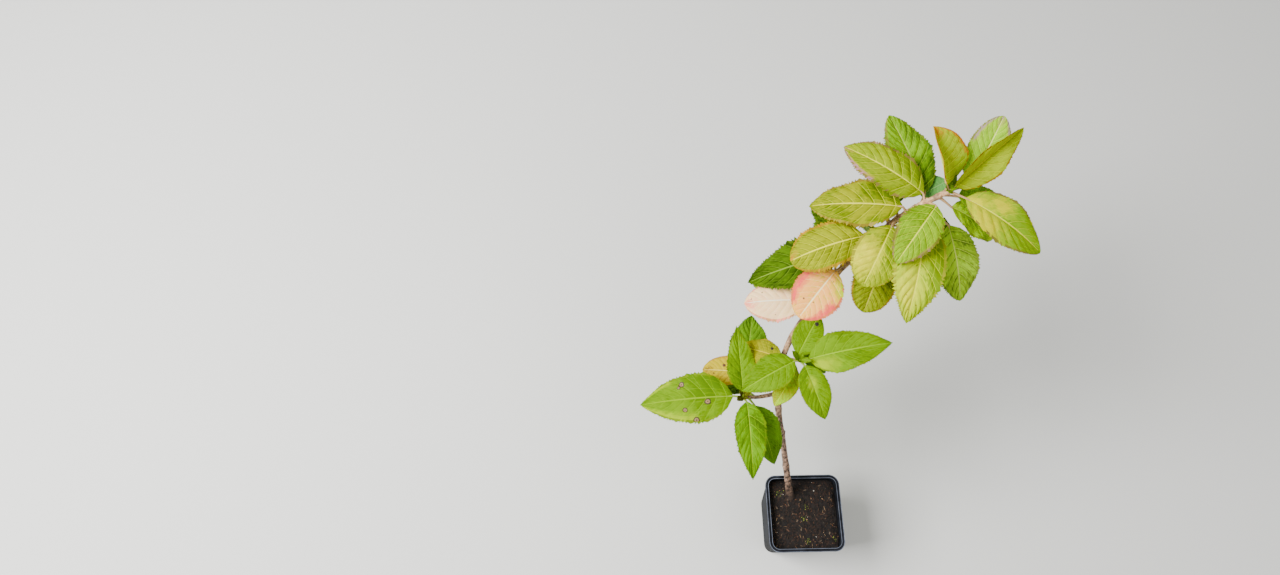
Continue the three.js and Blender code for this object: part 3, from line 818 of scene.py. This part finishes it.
ACROSS = np.array([-t for t in ROWS[:0:-1]] + ROWS)
PHASES, COLUMN_KINDS = vein_columns(ACROSS)
GRID_T = np.tile(ACROSS, (len(PHASES), 1))
COLUMN_IS_VEIN = np.array([kind == "vein" for kind in COLUMN_KINDS])
COLUMN_IS_FORK = np.array([kind == "fork" for kind in COLUMN_KINDS])
ROW_MIDDLES = np.abs(ACROSS[:-1] + ACROSS[1:]) / 2
ROW_IS_RIB = ROW_MIDDLES < ROWS[1]
ROW_IS_LINE = np.array([
    any(line < middle < line + CROSS_WIDTH for line in CROSS_LINES) for middle in ROW_MIDDLES])


def held(values):
    """Values held between 0 and 1."""
    return np.clip(values, 0, 1)


def noise_field(points, scale, seed):
    return np.array([noise.noise(Vector((x / scale, y / scale, seed))) for x, y in points])


def layered(points, layers, seed):
    """Noise of a few sizes. A layer has its strength, its size in mm and its place."""
    return sum(strength * noise_field(points, size, seed + place) for strength, size, place in layers)


def between_veins(share, across):
    """The phase among the side veins, and the swell there: 0 on a vein, 1 halfway to the next."""
    phase = 1 - (1 - share) ** (1 / (1 + ARCH * np.abs(across) ** ARCH_POWER))
    phase = phase * (VEINS + LAST_SKIN) - FIRST_VEIN
    inner = (phase > 0) & (phase < VEINS - 1)
    return phase, np.where(inner, np.abs(np.sin(math.pi * phase)) ** 0.6, 0.4)


def skin_lift(row, seed, quilt, share, t, under):
    """How far a skin stands off the blade's plain surface: quilts, sunk veins, waves at the margin."""
    dice = np.random.default_rng(seed)
    phase, swell = between_veins(share, t)
    half = half_width(row, share)
    size = row.length / 100
    window = held((np.abs(t) - 0.05) / 0.2) * held((1 - np.abs(t)) / 0.25)
    lift = quilt * size * (swell - 0.45) * window
    lift -= RIB_DEPTH * size * np.exp(-((t * half / (RIB_HALF * size)) ** 2)) * (1 - 0.6 * share)
    wave_height = dice.uniform(*WAVE_HEIGHTS) * size
    wave = wave_height * np.sin(2 * math.pi * (dice.uniform(*WAVE_COUNTS) * share + dice.uniform()))
    lift += wave * np.abs(t) ** 3 * np.sign(t) * np.sin(math.pi * share)
    lift += GRAIN * quilt * noise_field(zip(share * row.length, t * half), GRAIN_SIZE, seed)
    if under:
        ribs = np.exp(-((t * half / (RIDGE_HALF * size)) ** 2)) * (1 - 0.7 * share)
        near = (np.abs(phase - np.round(phase)) < 0.1) & (swell < 0.39)
        ridges = VEIN_RIDGE * size * near * held(1 - np.abs(t))
        return lift - SKIN - RIB_DEPTH * size * ribs - ridges
    return lift + SKIN


def blade_grid(row, path, seed, look, under):
    """The skin of one side of a blade, in mm, over the grid of veins."""
    u, t = PHASES.ravel() / (VEINS + LAST_SKIN), GRID_T.ravel()
    share = 1 - (1 - u) ** (1 + ARCH * np.abs(t) ** ARCH_POWER)
    lift = skin_lift(row, seed, look.quilt, share, t, under)
    column = np.arange(len(PHASES)).repeat(len(ACROSS))
    toothed = (np.abs(t) == 1) * (column % 2) * (share > TEETH[0]) * (share < TEETH[1])
    ragged = np.random.default_rng(seed + 500).uniform(*TOOTH_RAGGED, len(share))
    tooth = look.tooth * ragged * toothed * (0.5 + 0.5 * np.sin(math.pi * share))
    across = t * (1 + tooth * TOOTH * row.length / 100 / np.maximum(half_width(row, share), 1))
    share = held(share + tooth * TOOTH_AHEAD)
    return blade_points(row, path, share, across, lift), share


def patch(share, across, patch_share, patch_across, reach):
    """1 inside a round patch of a blade, and less towards 0 past its reach."""
    away = np.hypot(share - patch_share, (across - patch_across) * PATCH_ACROSS)
    return held(PATCH_CORE - away / reach)


def blush_shares(row, share, across, seed, points):
    """How far each face has turned, from 0 to 1, ragged at the edge of a blush."""
    turned = np.zeros(len(share))
    for blush in row.blush:
        turned = np.maximum(turned, patch(share, across, *blush))
    for side, start, end, depth in row.edges:
        band = held(EDGE_CORE - (1 - np.abs(across)) / depth) * (side * across >= 0)
        band *= held((share - start) / EDGE_FADE)
        band *= held((end + EDGE_FADE - share) / EDGE_FADE)
        turned = np.maximum(turned, band)
    return turned + TURNED_RAGGED * layered(points, TURNED_GRAIN, seed) * np.minimum(1, 3 * turned)


# Leaf skins. Each tint is a waxy leaf surface with a low satin sheen, in its own stage of autumn: the
# blade, its deeper tone, the midrib, the colour that it blushes to, and the rim of teeth. The deeper tone
# also carries the painted shade along the veins. The tints named lit_ are brighter copies of their
# neighbours: painted light on leaves that lie in shade. The underside of every leaf is paler, and the
# finest veins show as a small net of dents.
TINTS = {
    "fresh_green": "#629200 #3e5c06 #90b01c #94a800 #5e6c10",
    "bright_green": "#688e00 #466606 #8cb018 #98b000 #6c7c08",
    "spotted_green": "#6b8f00 #527604 #84a410 #94ac00 #6c7c08",
    "mid_green": "#4a6a06 #2c4208 #7c9830 #6f7c00 #4e6210",
    "leaf_green": "#5e8a0c #406014 #84a82c #7c8c10 #546c18",
    "olive": "#829000 #485610 #b0ac38 #9c7a20 #745424",
    "gold_green": "#919800 #626e00 #dcd83c #b8841c #906018",
    "dull_lime": "#8c9200 #566c00 #d4d044 #988440 #705430",
    "pale_lime": "#9ca600 #6c8400 #dcdc38 #d0cc1c #888030",
    # Painted light: a brighter copy of a neighbouring tint, for a leaf that lies in shade.
    "lit_lime": "#9cb200 #6c8800 #dcdc38 #ccd018 #888030",
    "dull_green": "#78a400 #466812 #a4b848 #8c8044 #6c7034",
    "pale_green": "#9ec81c #566e1c #c8d858 #948044 #707434",
    # Painted light: a brighter copy of a neighbouring tint, for a leaf that lies in shade.
    "lit_green": "#b8e400 #6c8c18 #dce858 #948044 #707434",
    "plum_lime": "#8c9e00 #688000 #dcdc40 #ac7c84 #745058",
    "cool_lime": "#86ac00 #5e8400 #d4dc40 #846850 #604838",
    "blue_green": "#5e9a4a #40743c #88b468 #5f9040 #507c38",
    "gold_lime": "#7fa600 #6c9000 #dcdc3c #c8c400 #7c584c",
    "grey_green": "#98c80c #789c24 #e0e880 #a08c80 #6c5450",
    "bright_gold": "#97a900 #6e7e00 #d0d020 #a4b400 #744408",
    "lime_rust": "#b0c800 #949800 #e8e84c #d8701c #a84c18",
    "old_gold": "#928e00 #606c0c #c4b42c #808c00 #846820",
    # Painted light: a brighter copy of a neighbouring tint, for a leaf that lies in shade.
    "lit_gold": "#acd800 #a47c20 #dcec30 #a09c20 #846820",
    "cream": "#ffd49c #ffbc8c #fff4d4 #fc9480 #b07048",
    "peach": "#ffb157 #b4c400 #ffeaac #e85850 #b0483c",
    "cream_yellow": "#b8a208 #806420 #dcc860 #a87034 #8c6434",
    "young": "#688c00 #4c6c08 #98b030 #8c9818 #5c6c18",
    "young_brown": "#54580c #30300a #848434 #6c5820 #544420",
}
TONE_STEPS = 3
TURN_STEPS = 4
CLOUDS = ((0.9, 24, 0.2), (0.35, 5, 0.4))
# Painted shade: how much deeper the tone is in the band along each side vein.
PAINTED_VEIN_SHADE = 0.45
OUTER_DEPTH = 0.25
SHADE_DEPTH = 0.9
VEIN_END = 0.95
RIB_END = 0.97
LINES_KEPT = 0.6
RIM_FROM = 0.93
RIM_SHARE = 0.7
UNDER_WASH = "#a9bb8c"
SKIN_NET = 0.0011
leaf_skins = {}


def blend_codes(first, second, share):
    pairs = zip(bytes.fromhex(first[1:]), bytes.fromhex(second[1:]))
    return "#" + bytes(round(a * (1 - share) + b * share) for a, b in pairs).hex()


def leaf_skin(tint, part):
    """The waxy skin of one part of a tint, made when it is first asked for."""
    if (tint, part) in leaf_skins:
        return leaf_skins[tint, part]
    blade, deep, rib, blush, rim = TINTS[tint].split()
    kind, _, step = part.partition("_")
    if kind == "tone":
        code = blend_codes(blade, deep, int(step) / TONE_STEPS)
    elif kind == "turned":
        code = blend_codes(blade, blush, int(step) / TURN_STEPS)
    else:
        code = {
            "rib": rib, "vein": blend_codes(blade, rib, 0.6), "fine_vein": blend_codes(blade, rib, 0.25),
            "rim": blend_codes(blade, rim, 0.6), "under": blend_codes(blade, UNDER_WASH, 0.5),
            "under_vein": blend_codes(rib, UNDER_WASH, 0.35)}[part]
    made, shader = new_material(
        f"leaf_{tint}_{part}", Base_Color=linear(code), Roughness=0.65, IOR=1.42, Specular_IOR_Level=0.015,
        Subsurface_Weight=0.15, Subsurface_Radius=(0.7, 1.0, 0.25), Subsurface_Scale=0.0015)
    where = add_node(made, "ShaderNodeTexCoord").outputs["Object"]
    roughen(made, shader, cells(made, where, SKIN_NET), 0.25, 0.0002)
    leaf_skins[tint, part] = made
    return made


def tones(row, look, seed, share, across, points):
    """Depth of tone, 0 to 1: in clouds, at the margin, as painted shade on both sides of each vein, and as
    the row says.
    """
    away = np.abs(across)
    phase, swell = between_veins(share, across)
    # Painted shade: a band on both sides of each side vein, where the quilted skin dips into the sunk vein.
    painted_vein_shade = held(1 - np.abs(np.abs(phase - np.round(phase)) - 0.12) / 0.1) * (swell < 0.9)
    tone = look.clouds * layered(points, CLOUDS, seed)
    tone += look.between * (PAINTED_VEIN_SHADE * painted_vein_shade + OUTER_DEPTH * (away - 0.5)) + look.depth
    for shade in row.shade:
        tone += SHADE_DEPTH * patch(share, across, *shade)
    return held(tone)


def leaf_arrays(row, path, seed, look):
    """Vertices, faces and the part of each face, for both skins and the rim of one leaf."""
    top, share = blade_grid(row, path, seed, look, False)
    under, _ = blade_grid(row, path, seed, look, True)
    columns, rows = PHASES.shape
    index = np.arange(columns * rows).reshape(columns, rows)
    quads = np.stack([index[:-1, :-1], index[1:, :-1], index[1:, 1:], index[:-1, 1:]], -1).reshape(-1, 4)
    loop = np.concatenate([index[:, 0], index[-1, 1:], index[-2::-1, -1], index[0, -2:0:-1]])
    ahead = np.roll(loop, -1)
    below = len(top)
    edge = np.stack([loop, loop + below, ahead + below, ahead], -1)
    middle_share = share[quads].mean(1)
    middle_across = GRID_T.ravel()[quads].mean(1)
    away = np.abs(middle_across)
    dice = np.random.default_rng(seed + 1000)
    drawn = dice.uniform(0, 1, len(quads))
    is_vein = np.repeat(COLUMN_IS_VEIN, rows - 1) & (away < VEIN_END)
    is_rib = np.tile(ROW_IS_RIB, columns - 1) & (middle_share < RIB_END)
    is_fork = np.repeat(COLUMN_IS_FORK, rows - 1) & (away > FORK_FROM + 0.03) & (away < VEIN_END)
    interval = np.repeat((PHASES[:-1, 0] - FIRST_VEIN).astype(int), rows - 1)
    line_kept = dice.uniform(0, 1, (VEINS + 1, rows - 1)) < LINES_KEPT
    row_index = np.tile(np.arange(rows - 1), columns - 1)
    is_line = np.tile(ROW_IS_LINE, columns - 1) & line_kept[interval, row_index]
    points = list(zip(middle_share * row.length, middle_across * row.width / 2))
    tone = tones(row, look, seed, middle_share, middle_across, points)
    parts = np.char.add("tone_", (tone * TONE_STEPS + 0.999 * drawn).astype(int).astype(str))
    turned = held(blush_shares(row, middle_share, middle_across, seed, points))
    turns = (turned * TURN_STEPS + 0.999 * dice.uniform(0, 1, len(quads))).astype(int)
    parts = np.where(turns > 0, np.char.add("turned_", turns.astype(str)), parts)
    parts = np.where((away > RIM_FROM) & (drawn < RIM_SHARE), "rim", parts)
    parts = np.where((is_fork | is_line) & (turned < 0.3) & (away < RIM_FROM), "fine_vein", parts)
    parts = np.where(is_vein & (turned < 0.6), "vein", parts)
    parts = np.where(is_rib, "rib", parts)
    under_parts = np.where(is_vein | is_rib, "under_vein", "under")
    faces = np.vstack([quads, quads[:, ::-1] + below, edge])
    return np.vstack([top, under]), faces, np.concatenate([parts, under_parts, ["rim"] * len(edge)])


def joined(name, kind, groups, smooth_angle):
    """Joins arrays of vertices in mm, faces and materials into the piece of one kind in a mass."""
    points, faces, skins, slots = [], [], [], []
    start = 0
    for vertices, quads, materials in groups:
        points.append(vertices * MM)
        faces.append(quads + start)
        start += len(vertices)
        for material in materials:
            if material not in slots:
                slots.append(material)
        skins += [slots.index(material) for material in materials]
    made = array_piece(name + kind, np.vstack(points), np.vstack(faces), skins, slots)
    made.data.shade_smooth()
    made.data.set_sharp_from_angle(angle=math.radians(smooth_angle))
    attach(made, "root")
    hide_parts(name)


SHADE_TINTS = ("mid_green", "leaf_green", "mid_green", "dull_green")
YOUNG_TINTS = {"top_crown": "young", "left_leaves": "young_brown", "right_leaves": "young"}
FIRST_SEED = 100
seed = FIRST_SEED
for name, mass in MASSES.items():
    groups = []
    for row in rows_of[name]:
        seed += 1
        grown = row.length > YOUNG.length
        tint = row.tint or (SHADE_TINTS[seed % len(SHADE_TINTS)] if grown else YOUNG_TINTS[name])
        vertices, quads, parts = leaf_arrays(row, mass.path, seed, LOOKS[name] if grown else YOUNG_LOOK)
        groups.append((vertices, quads, [leaf_skin(tint, part) for part in parts.tolist()]))
    joined(name, "_blades", groups, 50)

# Leaf spots. Old leaves carry a few round dead patches, dark with a paler middle or nearly black, and
# small brown specks. Each is a thin lens of dry leaf that follows the blade and stands a little proud.
SPOT_SIDES = 14
SPOT_RAGGED = 0.05
SPOT_RINGS = ((0.0, -0.35), (0.94, -0.3), (1.0, 0.2), (0.66, 0.3), (0.22, 0.32), (0.0, 0.32))
SPOT_LOOKS = {
    "ringed": (plain("dry_patch_brown", "#34180a", 0.7), plain("dry_patch_tan", "#947850", 0.75)),
    "black": (plain("dead_patch_dark", "#2c1c0c", 0.7), plain("dead_patch_black", "#140c08", 0.75)),
    "speck": (plain("speck_brown", "#6c4418", 0.7), plain("speck_dark", "#4c2c10", 0.7)),
}


def tube_faces(rings, sides):
    """Faces of a tube of rings, closed at both ends."""
    index = np.arange(rings * sides).reshape(rings, sides)
    turned = np.roll(index, -1, axis=1)
    walls = np.stack([index[:-1], turned[:-1], turned[1:], index[1:]], -1).reshape(-1, 4)
    caps = [(ring[0], ring[k], ring[k + 1], ring[k + 2])
            for ring in (index[-1], index[0][::-1]) for k in range(1, sides - 2, 2)]
    return np.vstack([walls, caps])


def spot_arrays(row, path, seed, quilt, where, across, radius, look="speck"):
    """A lens of a few rings, closed at both ends, set on the skin at a share and an across."""
    turns = np.arange(SPOT_SIDES) * 2 * math.pi / SPOT_SIDES
    ragged = 1 + SPOT_RAGGED * (np.sin(3 * turns + seed) + np.sin(5 * turns + 2 * seed))
    half = half_width(row, np.array([where]))[0]
    points = []
    for reach, lift in SPOT_RINGS:
        out = max(reach, 0.04) * radius * ragged
        share = np.clip(where + out * np.cos(turns) / row.length, 0.01, 0.99)
        t = np.clip(across + out * np.sin(turns) / half, -0.97, 0.97)
        skin = skin_lift(row, seed, quilt, share, t, False)
        points.append(blade_points(row, path, share, t, skin + lift))
    faces = tube_faces(len(SPOT_RINGS), SPOT_SIDES)
    edge, middle = SPOT_LOOKS[look]
    skins = [edge] * (3 * SPOT_SIDES) + [middle] * SPOT_SIDES + [edge] * (len(faces) - 4 * SPOT_SIDES)
    return np.vstack(points), faces, skins


seed = FIRST_SEED
for name, mass in MASSES.items():
    groups = []
    for row in rows_of[name]:
        seed += 1
        groups += [spot_arrays(row, mass.path, seed, LOOKS[name].quilt, *spot) for spot in row.spots]
    if groups:
        joined(name, "_spots", groups, 50)

# The leaf stalks. Each clasps its joint with a broad foot, thins to about 2.5 mm, and runs on under the
# blade as its rib. They are smooth, green on the side shoots and tan along the main stem.
STALK = Sizes(sides=10, steps=18, into_blade=0.12, below=0.8, under=1.5, end_under=1.1)
STALK_RADII = ((0, 0.12, 0.35, 0.6, 1), (2.3, 1.8, 1.35, 1.25, 0.7))
STALK_GROOVE = 0.3
stalk_green, _ = new_material("leaf_stalk_green", Base_Color=linear("#8ca42c"), Roughness=0.5, IOR=1.42)
stalk_tan, _ = new_material("leaf_stalk_tan", Base_Color=linear("#c29a6c"), Roughness=0.45, IOR=1.42)
STALK_SKINS = {"left_leaves": stalk_green, "right_leaves": stalk_green}


def stalk_arrays(row, path, skin):
    """A tube from the joint to the blade's foot, and on below the midrib until it fades out."""
    root = path_points(path, row.at)[0]
    foot = blade_foot(row, path)
    inside, _, up = midrib(row, path, np.array([STALK.into_blade / 2, STALK.into_blade]))
    route = np.array([
        root, (root + foot) / 2, foot - up[0] * STALK.below, inside[0] - up[0] * STALK.under,
        inside[1] - up[1] * STALK.end_under])
    shares = np.linspace(0, 1, STALK.steps + 1)
    centres = path_points(route, shares)
    along = unit(np.gradient(centres, axis=0))
    side = unit(np.cross(along, up[0]))
    rise = np.cross(side, along)
    radius = np.interp(shares, *STALK_RADII) * min(1, row.length / 60)
    turns = np.arange(STALK.sides) * 2 * math.pi / STALK.sides
    groove = 1 - STALK_GROOVE * np.exp(-(((turns - math.pi / 2) / 0.5) ** 2))
    ring = side[:, None] * (np.cos(turns) * groove)[None, :, None]
    ring = ring + rise[:, None] * (np.sin(turns) * groove)[None, :, None]
    faces = tube_faces(len(shares), STALK.sides)
    return (centres[:, None] + ring * radius[:, None, None]).reshape(-1, 3), faces, [skin] * len(faces)


for name, mass in MASSES.items():
    skin = STALK_SKINS.get(name, stalk_tan)
    joined(name, "_stalks", [stalk_arrays(row, mass.path, skin) for row in rows_of[name]], 60)

# The stems inside the crown and the rosettes. The same stem and shoots run on up to their tips in the
# same young bark, and on the main stem with a joint for every leaf.
crown = ("pink_leaves", "lower_crown", "middle_crown", "top_crown")
crown_joints = [row.at for name in crown for row in LEAVES[name]]
stem_piece("crown_stem_bark", crown, MAIN, CROWN_FOOT, 1, crown_joints, woody=0.7)
stem_piece("left_tip_bark", ["left_leaves"], LEFT, LEFT_FOOT, 1, woody=0.5, sides=20)
stem_piece("right_tip_bark", ["right_leaves"], RIGHT, RIGHT_FOOT, 1, woody=0.5, sides=20)
